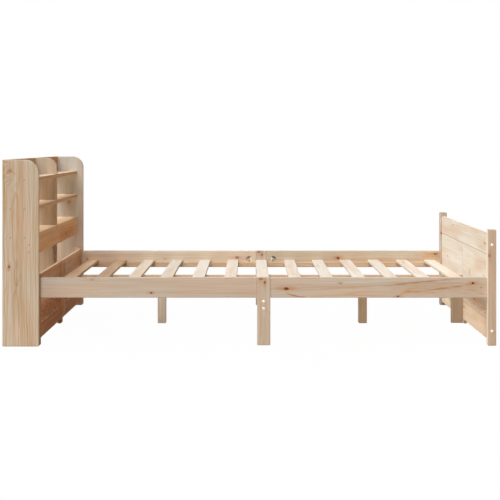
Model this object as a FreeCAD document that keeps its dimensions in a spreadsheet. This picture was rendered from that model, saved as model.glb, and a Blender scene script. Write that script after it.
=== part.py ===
"""Solid pine double bed with a bookcase headboard, a panelled footboard and a slatted base.

The head stands at -X and the foot at +X. Left and right are as seen from the foot, so left is -Y.
Z is up from the floor, and X and Y start at the middle of the bed's outline.
"""
import FreeCAD
import Part
import Sketcher
import os

doc = FreeCAD.newDocument("PineBed")

# Driving sizes, in millimetres. A rise, lift or drop is measured from the piece named with it below, and
# a shelf's share is its top's part of the height from the head posts up to the top of the bookcase.
SIZES = {
    "mattress_length": "2000",
    "mattress_width": "1400",
    "mattress_end_play": "8",
    "mattress_side_play": "5",
    "board_chamfer": "1.2",
    "frame_chamfer": "2.5",
    "cut_overrun": "5",
    "side_thickness": "20",
    "side_depth": "164",
    "bookcase_height": "837",
    "side_corner_radius": "62",
    "back_thickness": "20",
    "back_lap": "191",
    "back_rail_height": "100",
    "shelf_thickness": "18",
    "shelf_setback": "35",
    "top_shelf_share": "0.8411",
    "middle_shelf_share": "0.5872",
    "bottom_shelf_share": "0.3391",
    "divider_thickness": "18",
    "divider_corner_radius": "50",
    "apron_thickness": "18",
    "apron_height": "79",
    "screw_diameter": "5",
    "screw_head_diameter": "9",
    "screw_head_depth": "3",
    "screw_length": "50",
    "screw_clearance": "0.1",
    "screw_rear_inset": "36",
    "screw_front_inset": "99",
    "apron_screw_spacing": "33",
    "head_post_depth": "53",
    "head_post_width": "40",
    "head_post_rise": "15",
    "head_panel_thickness": "18",
    "head_panel_setback": "10",
    "head_panel_drop": "8",
    "head_board_bottom": "22",
    "head_board_width": "60",
    "centre_foot_width": "60",
    "cleat_thickness": "12",
    "cleat_width": "60",
    "cleat_rise": "3",
    "cleat_lift": "23",
    "rail_height": "92",
    "rail_thickness": "22",
    "rail_bottom": "214",
    "leg_width": "60",
    "leg_proud": "1",
    "ledger_lift": "4",
    "ledger_height": "25",
    "ledger_depth": "22",
    "slat_width": "60",
    "slat_thickness": "13",
    "slat_end_inset": "33",
    "slat_end_gap": "2",
    "beam_thickness": "22",
    "cross_beam_height": "64",
    "centre_leg_section": "42",
    "centre_leg_offset": "509",
    "slot_clearance": "0.2",
    "end_leg_width": "60",
    "foot_post_section": "38",
    "foot_post_rise": "21",
    "foot_panel_thickness": "18",
    "foot_panel_setback": "10",
    "foot_board_bottom": "20",
    "foot_bottom_width": "92",
    "foot_panel_height": "294",
    "foot_top_width": "95",
    "bolt_diameter": "6",
    "bolt_length": "80",
    "bolt_head_diameter": "14",
    "bolt_head_height": "3",
    "bolt_head_recess": "4",
    "bolt_clearance": "0.2",
    "nut_diameter": "10",
    "nut_length": "14",
    "nut_from_tip": "18",
    "pocket_diameter": "33",
    "pocket_depth": "18",
    "pocket_setback": "38",
    "half_moon_offset": "7",
    "half_moon_thickness": "12",
    "stud_nut_corners": "11.5",
    "stud_nut_height": "5",
    "half_moon_clearance": "0.2",
    "stud_tail": "2",
}
SLAT_COUNT = 13
# Screws, bolts, nuts and the holes that they fill are twelve-sided, because so many of them repeat.
FIXING_SIDE_COUNT = 12
HEXAGON_SIDE_COUNT = 6

sheet = doc.addObject("Spreadsheet::Sheet", "Sizes")
for row, (alias, value) in enumerate(SIZES.items(), start=1):
    sheet.set(f"A{row}", alias)
    sheet.set(f"B{row}", value)
    sheet.setAlias(f"B{row}", alias)
doc.recompute()


class Length:
    """A length written in the sheet's own arithmetic, with its present value beside it."""

    def __init__(self, text, value):
        self.text = text
        self.value = value

    def __add__(self, other):
        return Length(f"({self.text} + {other.text})", self.value + other.value)

    def __sub__(self, other):
        return Length(f"({self.text} - {other.text})", self.value - other.value)

    def __neg__(self):
        return Length(f"(-{self.text})", -self.value)

    def __mul__(self, factor):
        if isinstance(factor, Length):
            return Length(f"({self.text} * {factor.text})", self.value * factor.value)
        return Length(f"({self.text} * {factor})", self.value * factor)

    def __truediv__(self, count):
        return Length(f"({self.text} / {count})", self.value / count)


class Sizes:
    """The sheet's cells by name."""

    def __getattr__(self, alias):
        return Length(f"Sizes.{alias}", sheet.get(alias))


mm = Sizes()
floor = Length("0", 0)
centre = Length("0", 0)

# Places along the bed
clear_length = mm.mattress_length + mm.mattress_end_play * 2
overall_length = mm.side_depth + clear_length + mm.foot_post_section
rear = -(overall_length / 2)
head_line = rear + mm.side_depth
foot_line = head_line + clear_length
front = foot_line + mm.foot_post_section
middle = head_line + clear_length / 2
leg_back = middle - mm.leg_width / 2
leg_front = middle + mm.leg_width / 2

# Places across the bed, measured from its centre line
inner = mm.mattress_width / 2 + mm.mattress_side_play
rail_outer = inner + mm.rail_thickness
leg_outer = rail_outer + mm.leg_proud
rail_centre = inner + mm.rail_thickness / 2
side_inner = inner + mm.head_post_width
side_outer = side_inner + mm.side_thickness
foot_post_outer = inner + mm.foot_post_section

# Heights of the lying surface and of what carries it
rail_top = mm.rail_bottom + mm.rail_height
rail_middle = mm.rail_bottom + mm.rail_height / 2
ledger_bottom = mm.rail_bottom + mm.ledger_lift
slat_bottom = ledger_bottom + mm.ledger_height
slat_top = slat_bottom + mm.slat_thickness
beam_bottom = mm.rail_bottom - mm.cross_beam_height

# Heights of the two ends
head_post_top = rail_top + mm.head_post_rise
head_panel_top = head_post_top - mm.head_panel_drop
foot_bottom_top = mm.foot_board_bottom + mm.foot_bottom_width
foot_panel_top = foot_bottom_top + mm.foot_panel_height
foot_top_top = foot_panel_top + mm.foot_top_width
foot_post_top = foot_top_top + mm.foot_post_rise

# Holes that the fixings pass through
screw_hole = mm.screw_diameter + mm.screw_clearance * 2
screw_head_hole = mm.screw_head_diameter + mm.screw_clearance * 2
bolt_hole = mm.bolt_diameter + mm.bolt_clearance * 2
bolt_head_hole = mm.bolt_head_diameter + mm.bolt_clearance * 2
nut_hole = mm.nut_diameter + mm.bolt_clearance * 2

SIDES = ("left", "right")
HALVES = ("head", "foot")


def across(side, near, far):
    """The low and high Y of something between two distances from the centre line."""
    if side == "left":
        return -far, -near
    return near, far


def outward(side, distance):
    """The Y of a place at a distance from the centre line."""
    return -distance if side == "left" else distance


def place(item, x, y, z):
    item.setExpression("Placement.Base.x", x.text)
    item.setExpression("Placement.Base.y", y.text)
    item.setExpression("Placement.Base.z", z.text)


# A round tool's own axis is Z: these turn it to point along the bed's axes.
TURNS = {
    "+x": FreeCAD.Rotation(FreeCAD.Vector(0, 1, 0), 90),
    "-x": FreeCAD.Rotation(FreeCAD.Vector(0, 1, 0), -90),
    "+y": FreeCAD.Rotation(FreeCAD.Vector(1, 0, 0), -90),
    "-y": FreeCAD.Rotation(FreeCAD.Vector(1, 0, 0), 90),
}

parts = []


class Board:
    """A planed pine board with its arrises eased, in its own body."""

    def __init__(self, label, low, high, chamfer):
        self.label = label
        self.low = low
        self.high = high
        self.chamfer = chamfer
        self.body = doc.addObject("PartDesign::Body", label)
        place(self.body, *low)
        parts.append(self.body)

    def planed(self):
        """The square blank, and its arrises."""
        blank = self.body.newObject("PartDesign::AdditiveBox", f"{self.label}_blank")
        for side, start, end in zip(("Length", "Width", "Height"), self.low, self.high):
            blank.setExpression(side, (end - start).text)
        return self.ease(blank)

    def ease(self, base):
        """Take the sharpness off every edge."""
        easing = self.body.newObject("PartDesign::Chamfer", f"{self.label}_arrises")
        easing.Base = (base, [])
        easing.UseAllEdges = True
        easing.setExpression("Size", self.chamfer.text)
        return self

    def bore(self, at, along, diameter, depth):
        """A round hole that starts at a point on the board's face and stays open to view."""
        tool = self.body.newObject("PartDesign::SubtractiveCylinder", f"{self.label}_bore")
        tool.setExpression("Radius", (diameter / 2).text)
        self.sink(tool, at, along, depth)

    def drill(self, at, along, diameter, depth):
        """A hole that a fixing fills, with as many sides as the fixing."""
        tool = self.body.newObject("PartDesign::SubtractivePrism", f"{self.label}_drilling")
        tool.Polygon = FIXING_SIDE_COUNT
        tool.setExpression("Circumradius", (diameter / 2).text)
        self.sink(tool, at, along, depth)

    def sink(self, tool, at, along, depth):
        """Point a hole's tool into the board, from clear of the face to a depth."""
        tool.setExpression("Height", (depth + mm.cut_overrun).text)
        tool.Placement = FreeCAD.Placement(FreeCAD.Vector(), TURNS[along])
        place(tool, *self.local(self.outside(at, along)))

    def slot(self, y, z):
        """An open slot right along X, between two places across the bed and two heights."""
        tool = self.body.newObject("PartDesign::SubtractiveBox", f"{self.label}_slot")
        run = self.high[0] - self.low[0]
        tool.setExpression("Length", (run + mm.cut_overrun * 2).text)
        tool.setExpression("Width", (y[1] - y[0]).text)
        tool.setExpression("Height", (z[1] - z[0]).text)
        place(tool, -mm.cut_overrun, y[0] - self.low[1], z[0] - self.low[2])

    def outside(self, at, along):
        """A point moved back out of the board, so that a cut starts clear of the face."""
        moved = list(at)
        axis = "xyz".index(along[1])
        step = -mm.cut_overrun if along[0] == "+" else mm.cut_overrun
        moved[axis] = moved[axis] + step
        return moved

    def local(self, at):
        return [coordinate - start for coordinate, start in zip(at, self.low)]


def board(label, x, y, z):
    """A board between two places along, across and above the floor."""
    low, high = zip(x, y, z)
    return Board(label, low, high, mm.board_chamfer).planed()


def timber(label, x, y, z):
    """A post, leg or rail of the frame, with its arrises eased more than a board's."""
    low, high = zip(x, y, z)
    return Board(label, low, high, mm.frame_chamfer).planed()


# Bookcase: two side panels that stand on the floor, a divider, shelves, an apron let into the
# divider, and back boards at the top and at the foot, with the bays between them open at the back
shelf_back = rear + mm.back_thickness
shelf_front = head_line - mm.shelf_setback
apron_back = shelf_front - mm.apron_thickness
shelved_height = mm.bookcase_height - head_post_top
shelf_tops = {
    "top": head_post_top + shelved_height * mm.top_shelf_share,
    "middle": head_post_top + shelved_height * mm.middle_shelf_share,
    "bottom": head_post_top + shelved_height * mm.bottom_shelf_share,
}
apron_top = shelf_tops["bottom"] - mm.shelf_thickness
apron_bottom = apron_top - mm.apron_height
apron_middle = apron_top - mm.apron_height / 2
back_bottom = head_post_top - mm.back_lap
open_back_top = shelf_tops["top"] - mm.shelf_thickness
open_back_bottom = back_bottom + mm.back_rail_height


def upright(label, y, corners, corner_radius, chamfer):
    """A vertical pine panel cut to an outline, with its top front corner rounded.

    The corners run from the foot of the back edge round to the top front corner, as places along
    the bed and above the floor. The top of the back edge closes the outline.
    """
    back, foot = corners[0]
    nose, top = corners[-1]
    panel = Board(label, (back, y[0], foot), (nose, y[1], top), chamfer)
    sketch = panel.body.newObject("Sketcher::SketchObject", f"{label}_outline")
    plane = next(item for item in panel.body.Origin.OriginFeatures if item.Role == "XZ_Plane")
    sketch.AttachmentSupport = [(plane, "")]
    sketch.MapMode = "FlatFace"
    points = [(x - back, z - foot) for x, z in corners[:-1]]
    arc_start = len(points)
    points.append((nose - back, top - foot - corner_radius))
    points.append((nose - back - corner_radius, top - foot))
    points.append((back - back, top - foot))
    place_on_sheet = [FreeCAD.Vector(x.value, z.value, 0) for x, z in points]
    pivot = FreeCAD.Vector(place_on_sheet[arc_start + 1].x, place_on_sheet[arc_start].y, 0)
    circle = Part.Circle(pivot, FreeCAD.Vector(0, 0, 1), corner_radius.value)
    for index, start in enumerate(place_on_sheet):
        end = place_on_sheet[(index + 1) % len(points)]
        if index == arc_start:
            quarter = Part.ArcOfCircle(circle, circle.parameter(start), circle.parameter(end))
            sketch.addGeometry(quarter, False)
        else:
            sketch.addGeometry(Part.LineSegment(start, end), False)
    for index in range(len(points)):
        following = (index + 1) % len(points)
        sketch.addConstraint(Sketcher.Constraint("Coincident", index, 2, following, 1))
    for index, (x, z) in enumerate(points):
        hold(sketch, "DistanceX", index, x, -2)
        hold(sketch, "DistanceY", index, z, -1)
    radius = sketch.addConstraint(Sketcher.Constraint("Radius", arc_start, corner_radius.value))
    sketch.setExpression(f"Constraints[{radius}]", corner_radius.text)
    pad = panel.body.newObject("PartDesign::Pad", f"{label}_panel")
    pad.Profile = sketch
    pad.Reversed = True
    pad.setExpression("Length", (y[1] - y[0]).text)
    doc.recompute()
    return panel.ease(pad)


def hold(sketch, kind, index, distance, axis):
    """Tie the start of an outline's edge to the sheet, or to the sketch's axis where it lies on it."""
    if distance.value == 0:
        sketch.addConstraint(Sketcher.Constraint("PointOnObject", index, 1, axis))
        return
    number = sketch.addConstraint(Sketcher.Constraint(kind, -1, 1, index, 1, distance.value))
    sketch.setExpression(f"Constraints[{number}]", distance.text)


# The places of the screws, bolts and nuts, gathered as the boards that they hold are drilled
screw_places = []
bolt_places = []
nut_places = []

# Which way along Y leads into the bed and out of it
WAY_IN = {"left": "+y", "right": "-y"}
WAY_OUT = {"left": "-y", "right": "+y"}


def screw_shelf(panel, shelf, side, x, z):
    """A screw through a side panel into the end of a shelf or of the apron."""
    along = WAY_IN[side]
    face = (x, outward(side, side_outer), z)
    panel.drill(face, along, screw_hole, mm.side_thickness + mm.cut_overrun)
    panel.drill(face, along, screw_head_hole, mm.screw_head_depth)
    tip = mm.screw_length - mm.side_thickness + mm.screw_clearance
    shelf.drill((x, outward(side, side_inner), z), along, screw_hole, tip)
    screw_places.append((face, along))


side_panels = {}
for side in SIDES:
    corners = [(rear, floor), (head_line, floor), (head_line, mm.bookcase_height)]
    side_panels[side] = upright(
        f"bookcase_side_{side}",
        across(side, side_inner, side_outer),
        corners,
        mm.side_corner_radius,
        mm.frame_chamfer,
    )

divider_half = mm.divider_thickness / 2
upright(
    "bookcase_divider",
    (-divider_half, divider_half),
    [
        (shelf_back, back_bottom),
        (shelf_front, back_bottom),
        (shelf_front, apron_bottom),
        (apron_back, apron_bottom),
        (apron_back, apron_top),
        (shelf_front, apron_top),
        (shelf_front, mm.bookcase_height),
    ],
    mm.divider_corner_radius,
    mm.board_chamfer,
)

back_depth = (rear, shelf_back)
bookcase_width = (-side_inner, side_inner)
board("back_board_upper", back_depth, bookcase_width, (open_back_top, mm.bookcase_height))
board("back_board_lower", back_depth, bookcase_width, (back_bottom, open_back_bottom))

for level, top in shelf_tops.items():
    for side in SIDES:
        shelf = board(
            f"{level}_shelf_{side}",
            (shelf_back, shelf_front),
            across(side, divider_half, side_inner),
            (top - mm.shelf_thickness, top),
        )
        for inset in (mm.screw_rear_inset, mm.screw_front_inset):
            screw_shelf(side_panels[side], shelf, side, rear + inset, top - mm.shelf_thickness / 2)

apron = board("shelf_apron", (apron_back, shelf_front), bookcase_width, (apron_bottom, apron_top))
apron_centre = shelf_front - mm.apron_thickness / 2
for side in SIDES:
    for offset in (mm.apron_screw_spacing / 2, -(mm.apron_screw_spacing / 2)):
        screw_shelf(side_panels[side], apron, side, apron_centre, apron_middle + offset)


# Head and foot ends: panels between posts, drawn together by bolts into barrel nuts
def bolt_across(side, post, panel, seat, x, z):
    """A bolt along Y through a post or leg into the end of a board, where a barrel nut takes it.

    The seat is how far from the centre line the bolt's head bears. The nut goes in from the
    board's outer face, so that nothing shows inside the bed.
    """
    along = WAY_IN[side]
    post.drill((x, outward(side, seat), z), along, bolt_hole, mm.bolt_length + mm.cut_overrun)
    panel.drill((x, outward(side, inner), z), along, bolt_hole, mm.bolt_length - (seat - inner))
    bolt_places.append(((x, outward(side, seat), z), along))
    nut_at = (x, outward(side, seat - mm.bolt_length + mm.nut_from_tip), z)
    nut_places.append((nut_at, "x"))
    return nut_at


def bolt_along(half, post, rail, side):
    """A bolt along X through a post into the end of a side rail, with its head sunk in the post.

    Its nut goes in from the rail's outer face at the foot, and from inside the bed at the head.
    """
    at_head = half == "head"
    along = "+x" if at_head else "-x"
    step = 1 if at_head else -1
    line = head_line if at_head else foot_line
    grip = mm.foot_post_section - mm.bolt_head_recess
    seat = line - grip * step
    far_face = line - (mm.head_post_depth if at_head else mm.foot_post_section) * step
    y = outward(side, rail_centre)
    depth = (seat - far_face) * step
    post.bore((far_face, y, rail_middle), along, bolt_head_hole, depth)
    post.drill((seat, y, rail_middle), along, bolt_hole, grip + mm.cut_overrun)
    reach = mm.bolt_length - grip
    rail.drill((line, y, rail_middle), along, bolt_hole, reach)
    bolt_places.append(((seat, y, rail_middle), along))
    nut_at = (line + (reach - mm.nut_from_tip) * step, y, rail_middle)
    nut_mouth = (nut_at[0], outward(side, inner if at_head else rail_outer), rail_middle)
    nut_way = (WAY_OUT if at_head else WAY_IN)[side]
    rail.drill(nut_mouth, nut_way, nut_hole, mm.rail_thickness / 2 + mm.nut_length / 2)
    nut_places.append((nut_at, "y"))


head_panel_front = head_line - mm.head_panel_setback
head_depth = (head_panel_front - mm.head_panel_thickness, head_panel_front)
head_board_top = mm.head_board_bottom + mm.head_board_width
foot_half = mm.centre_foot_width / 2

head_posts = {}
for side in SIDES:
    head_posts[side] = timber(
        f"head_post_{side}",
        (head_line - mm.head_post_depth, head_line),
        across(side, inner, side_inner),
        (floor, head_post_top),
    )
    board(f"head_panel_{side}", head_depth, across(side, centre, inner), (head_board_top, head_panel_top))
board("head_bottom_board", head_depth, (-inner, inner), (mm.head_board_bottom, head_board_top))
board("head_centre_foot", head_depth, (-foot_half, foot_half), (floor, mm.head_board_bottom))

foot_panel_back = foot_line + mm.foot_panel_setback
foot_panel_front = foot_panel_back + mm.foot_panel_thickness
foot_panel_centre = foot_panel_back + mm.foot_panel_thickness / 2
foot_depth = (foot_panel_back, foot_panel_front)

foot_posts = {}
for side in SIDES:
    foot_posts[side] = timber(
        f"foot_post_{side}",
        (foot_line, front),
        across(side, inner, foot_post_outer),
        (floor, foot_post_top),
    )
    board(f"foot_panel_{side}", foot_depth, across(side, centre, inner), (foot_bottom_top, foot_panel_top))
foot_boards = {
    "foot_bottom_board": (mm.foot_board_bottom, foot_bottom_top),
    "foot_top_board": (foot_panel_top, foot_top_top),
}
for label, heights in foot_boards.items():
    panel = board(label, foot_depth, (-inner, inner), heights)
    for side in SIDES:
        z = (heights[0] + heights[1]) / 2
        nut_at = bolt_across(side, foot_posts[side], panel, foot_post_outer, foot_panel_centre, z)
        nut_mouth = (foot_panel_front, nut_at[1], z)
        panel.drill(nut_mouth, "-x", nut_hole, mm.foot_panel_thickness / 2 + mm.nut_length / 2)
board("foot_centre_foot", foot_depth, (-foot_half, foot_half), (floor, mm.foot_board_bottom))

# Base: side rails in halves that meet at a middle leg, ledgers, cross beam, centre beams and slats
half_moon_flat = mm.pocket_setback - mm.half_moon_offset
stud_half = mm.leg_width / 2 + half_moon_flat + mm.stud_nut_height + mm.stud_tail
beam_half = mm.beam_thickness / 2

half_moon_places = []
stud_nut_places = []
stud_places = []

cross_beam = board(
    "cross_beam",
    (middle - beam_half, middle + beam_half),
    (-inner, inner),
    (beam_bottom, mm.rail_bottom),
)
for side in SIDES:
    leg = timber(
        f"middle_leg_{side}",
        (leg_back, leg_front),
        across(side, inner, leg_outer),
        (floor, rail_top),
    )
    y = outward(side, rail_centre)
    leg.drill((leg_back, y, rail_middle), "+x", bolt_hole, mm.leg_width + mm.cut_overrun)
    stud_places.append(((middle - stud_half, y, rail_middle), "+x"))
    cross_quarter = (mm.rail_bottom - beam_bottom) / 4
    for z in (beam_bottom + cross_quarter, mm.rail_bottom - cross_quarter):
        nut_at = bolt_across(side, leg, cross_beam, leg_outer, middle, z)
        nut_mouth = (middle + beam_half, nut_at[1], z)
        cross_beam.drill(nut_mouth, "-x", nut_hole, beam_half + mm.nut_length / 2)
    for half in HALVES:
        at_head = half == "head"
        step = -1 if at_head else 1
        leg_face = leg_back if at_head else leg_front
        rail = timber(
            f"rail_{side}_{half}",
            (head_line, leg_back) if at_head else (leg_front, foot_line),
            across(side, inner, rail_outer),
            (mm.rail_bottom, rail_top),
        )
        post = head_posts[side] if at_head else foot_posts[side]
        bolt_along(half, post, rail, side)
        away = "-x" if at_head else "+x"
        rail.drill((leg_face, y, rail_middle), away, bolt_hole, mm.pocket_setback)
        pocket_x = leg_face + mm.pocket_setback * step
        pocket_mouth = (pocket_x, outward(side, inner), rail_middle)
        rail.bore(pocket_mouth, WAY_OUT[side], mm.pocket_diameter, mm.pocket_depth)
        half_moon_places.append(((pocket_x, y, rail_middle), half))
        stud_nut_places.append(((leg_face + half_moon_flat * step, y, rail_middle), away))
        board(
            f"ledger_{side}_{half}",
            (head_line, middle) if at_head else (middle, foot_line),
            across(side, inner - mm.ledger_depth, inner),
            (ledger_bottom, slat_bottom),
        )

cleat_front = head_panel_front + mm.cleat_thickness
cleat_half = mm.cleat_width / 2
cleat_top = rail_top + mm.cleat_rise
cleat_bottom = mm.head_board_bottom + mm.cleat_lift
cleat_sides = (-cleat_half, cleat_half)
board("beam_cleat", (head_panel_front, cleat_front), cleat_sides, (cleat_bottom, cleat_top))
end_leg_back = foot_panel_back - mm.end_leg_width
board("end_leg", (end_leg_back, foot_panel_back), (-beam_half, beam_half), (floor, slat_bottom))
beam_runs = {
    "head": (cleat_front, middle - beam_half),
    "foot": (middle + beam_half, end_leg_back),
}
for half, run in beam_runs.items():
    board(f"centre_beam_{half}", run, (-beam_half, beam_half), (beam_bottom, slat_bottom))
    step = -1 if half == "head" else 1
    leg_centre = middle + mm.centre_leg_offset * step
    leg_half = mm.centre_leg_section / 2
    leg = timber(
        f"centre_leg_{half}",
        (leg_centre - leg_half, leg_centre + leg_half),
        (-leg_half, leg_half),
        (floor, mm.rail_bottom),
    )
    leg.slot(
        (-(beam_half + mm.slot_clearance), beam_half + mm.slot_clearance),
        (beam_bottom, mm.rail_bottom + mm.cut_overrun),
    )

slat_pitch = (clear_length - mm.slat_end_inset * 2 - mm.slat_width) / (SLAT_COUNT - 1)
slat_length_half = inner - mm.slat_end_gap
first_slat = head_line + mm.slat_end_inset
for number in range(SLAT_COUNT):
    slat_back = first_slat + slat_pitch * number
    board(
        f"slat_{number + 1:02d}",
        (slat_back, slat_back + mm.slat_width),
        (-slat_length_half, slat_length_half),
        (slat_bottom, slat_top),
    )


# Steel fixings: each kind is drawn once along Z and then put in every hole that it fills
def cylinder(label, radius, start, height):
    solid = doc.addObject("Part::Cylinder", label)
    solid.setExpression("Radius", radius.text)
    solid.setExpression("Height", height.text)
    place(solid, centre, centre, start)
    return solid


def prism(label, sides, radius, start, height):
    solid = doc.addObject("Part::Prism", label)
    solid.Polygon = sides
    solid.setExpression("Circumradius", radius.text)
    solid.setExpression("Height", height.text)
    place(solid, centre, centre, start)
    return solid


def rod(label, diameter, start, height):
    """A shank, a head or a hole for one, with the sides that all fixings have."""
    return prism(label, FIXING_SIDE_COUNT, diameter / 2, start, height)


def joined(kind, label, base, tool):
    solid = doc.addObject(kind, label)
    solid.Base = base
    solid.Tool = tool
    return solid


def cross_hole(label):
    """A hole along X for the bolt or stud, through the middle of a fitting."""
    reach = mm.pocket_diameter
    tool = rod(label, bolt_hole, centre, reach * 2)
    tool.Placement = FreeCAD.Placement(FreeCAD.Vector(), TURNS["+x"])
    place(tool, -reach, centre, centre)
    return tool


def copies(source, places, turns):
    links = []
    for at, way in places:
        link = doc.addObject("App::Link", f"{source.Label}_copy")
        link.LinkedObject = source
        link.Placement = FreeCAD.Placement(FreeCAD.Vector(), turns[way])
        place(link, *at)
        links.append(link)
    return links


def group(label, links):
    node = doc.addObject("Part::Compound", label)
    node.Links = links
    parts.append(node)


screw_head = rod("screw_head", mm.screw_head_diameter, centre, mm.screw_head_depth)
screw_shank = rod("screw_shank", mm.screw_diameter, centre, mm.screw_length)
shelf_screw = joined("Part::Fuse", "shelf_screw", screw_head, screw_shank)
group("shelf_screws", copies(shelf_screw, screw_places, TURNS))

bolt_shank = rod("bolt_shank", mm.bolt_diameter, centre, mm.bolt_length)
bolt_head = rod("bolt_head", mm.bolt_head_diameter, -mm.bolt_head_height, mm.bolt_head_height)
connector_bolt = joined("Part::Fuse", "connector_bolt", bolt_shank, bolt_head)
group("connector_bolts", copies(connector_bolt, bolt_places, TURNS))

nut_blank = rod("nut_blank", mm.nut_diameter, -(mm.nut_length / 2), mm.nut_length)
barrel_nut = joined("Part::Cut", "barrel_nut", nut_blank, cross_hole("nut_thread"))
NUT_TURNS = {"x": FreeCAD.Rotation(FreeCAD.Vector(1, 1, 1), 120), "y": TURNS["+y"]}
group("barrel_nuts", copies(barrel_nut, nut_places, NUT_TURNS))

joint_stud = rod("joint_stud", mm.bolt_diameter, centre, stud_half * 2)
group("joint_studs", copies(joint_stud, stud_places, TURNS))

half_moon_radius = mm.pocket_diameter / 2 - mm.half_moon_clearance
half_moon_back = -(mm.half_moon_thickness / 2)
half_moon_disc = cylinder("half_moon_disc", half_moon_radius, half_moon_back, mm.half_moon_thickness)
half_moon_flat_cut = doc.addObject("Part::Box", "half_moon_flat_cut")
half_moon_flat_cut.setExpression("Length", mm.pocket_diameter.text)
half_moon_flat_cut.setExpression("Width", mm.pocket_diameter.text)
half_moon_flat_cut.setExpression("Height", (mm.half_moon_thickness * 2).text)
place(half_moon_flat_cut, -mm.half_moon_offset, -(mm.pocket_diameter / 2), -mm.half_moon_thickness)
half_moon_blank = joined("Part::Cut", "half_moon_blank", half_moon_disc, half_moon_flat_cut)
half_moon = joined("Part::Cut", "half_moon", half_moon_blank, cross_hole("half_moon_hole"))
HALF_MOON_TURNS = {
    "foot": TURNS["+y"],
    "head": FreeCAD.Rotation(FreeCAD.Vector(0, 1, 0), 180) * TURNS["+y"],
}
nut_hexagon = prism("nut_hexagon", HEXAGON_SIDE_COUNT, mm.stud_nut_corners / 2, centre, mm.stud_nut_height)
nut_bore = rod("nut_bore", bolt_hole, -mm.cut_overrun, mm.stud_nut_height + mm.cut_overrun * 2)
stud_nut = joined("Part::Cut", "stud_nut", nut_hexagon, nut_bore)
half_moons = copies(half_moon, half_moon_places, HALF_MOON_TURNS)
group("stud_nuts", half_moons + copies(stud_nut, stud_nut_places, TURNS))

doc.recompute()
for item in doc.Objects:
    if "Invalid" in item.State or "Error" in item.State:
        raise RuntimeError(f"{item.Label} did not build: {item.State}")
for part in parts:
    if part.Shape.isNull() or not part.Shape.isValid():
        raise RuntimeError(f"{part.Label} has no sound shape")

os.makedirs("parts", exist_ok=True)
for part in parts:
    part.Shape.exportStep(f"parts/{part.Label}.step")
print(len(parts), "parts written")
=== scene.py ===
import math
import random
from functools import partial
import bmesh
import bpy
from mathutils import Matrix, Vector


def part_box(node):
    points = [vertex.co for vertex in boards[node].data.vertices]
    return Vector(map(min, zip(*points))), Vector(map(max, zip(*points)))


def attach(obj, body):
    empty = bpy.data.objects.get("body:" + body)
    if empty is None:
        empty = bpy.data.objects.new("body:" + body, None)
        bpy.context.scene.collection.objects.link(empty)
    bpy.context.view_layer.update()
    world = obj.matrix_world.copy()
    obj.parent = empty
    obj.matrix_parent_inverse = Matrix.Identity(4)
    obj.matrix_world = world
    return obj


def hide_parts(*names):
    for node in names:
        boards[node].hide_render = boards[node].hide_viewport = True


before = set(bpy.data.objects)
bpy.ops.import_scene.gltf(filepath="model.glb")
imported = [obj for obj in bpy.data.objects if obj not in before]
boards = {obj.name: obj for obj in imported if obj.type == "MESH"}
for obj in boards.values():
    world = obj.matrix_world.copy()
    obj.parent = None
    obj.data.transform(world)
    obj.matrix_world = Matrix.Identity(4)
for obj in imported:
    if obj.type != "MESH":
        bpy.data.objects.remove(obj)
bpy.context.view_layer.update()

# Bookcase sides
# Two upright panels of glued-up solid pine that stand on the floor and carry the shelves.
# They are planed, left unfinished, and cut to a round shoulder at the top of the front edge.

METRE = 1000
AXES = {"x": Vector((1, 0, 0)), "y": Vector((0, 1, 0)), "z": Vector((0, 0, 1))}


def linear(code):
    """The linear colour of an sRGB hex value."""
    channels = [int(code[start:start + 2], 16) / 255 for start in (1, 3, 5)]
    shades = [c / 12.92 if c <= 0.04045 else ((c + 0.055) / 1.055) ** 2.4 for c in channels]
    return (*shades, 1)


def add_node(tree, kind, inputs=None, **settings):
    """A node with its settings, whose inputs are values or other nodes' outputs."""
    node = tree.nodes.new(kind)
    for setting, value in settings.items():
        setattr(node, setting, value)
    for socket, value in (inputs or {}).items():
        if isinstance(value, bpy.types.NodeSocket):
            tree.links.new(value, node.inputs[socket])
        else:
            node.inputs[socket].default_value = value
    return node


class Knot:
    """Where a branch left the log, in millimetres along and across from the middle of a board."""

    def __init__(self, along, across, length, width, dark=0.9):
        self.along = along
        self.across = across
        self.length = length
        self.width = width
        self.dark = dark


class Streak:
    """A band between two places along and across a board, bowed in the middle: mostly figure, some
    painted shade.
    """

    def __init__(self, start, end, width, tone, strength, bow=0):
        self.start = start
        self.end = end
        self.width = width
        self.tone = tone
        self.strength = strength
        self.bow = bow


# Widths in millimetres, lengths as shares of them, and how far from the middle knots may lie
WILD_WIDTHS = (6, 11)
WILD_LENGTH_SHARES = (1.2, 2.0)
WILD_DARKNESS = (0.4, 0.8)
ALONG_SHARE = 0.46
ACROSS_SHARE = 0.4


def wild_knots(board, count, seed):
    """Small knots scattered over a board by chance."""
    chance = random.Random(seed)
    low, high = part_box(board)
    spans = sorted((high - low) * METRE, reverse=True)
    knots = []
    for _ in range(count):
        width = chance.uniform(*WILD_WIDTHS)
        knots.append(Knot(
            chance.uniform(-ALONG_SHARE, ALONG_SHARE) * spans[0],
            chance.uniform(-ACROSS_SHARE, ACROSS_SHARE) * spans[1],
            width * chance.uniform(*WILD_LENGTH_SHARES),
            width,
            chance.uniform(*WILD_DARKNESS),
        ))
    return knots


# What frays a knot's outline, in millimetres along and across the grain, and by how much
KNOT_RAG = (9, 5)
RAG_SHARE = 0.7
# Where a knot's core and halo begin and where they are full, in half its size
KNOT_RIMS = {"halo": (1.7, 0.2), "core": (1.5, 0.8)}
KNOT_TONES = {"halo": "#C4804A", "core": "#70330F"}
HALO_SHARE = 0.6
# The rings drift round a knot, further along the grain than across, by a share of its width
DRIFT_SHARES = (0.3, 0.8, 0)
DRIFT_REACH = 2.2
BEND_SHARE = 1.3


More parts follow.
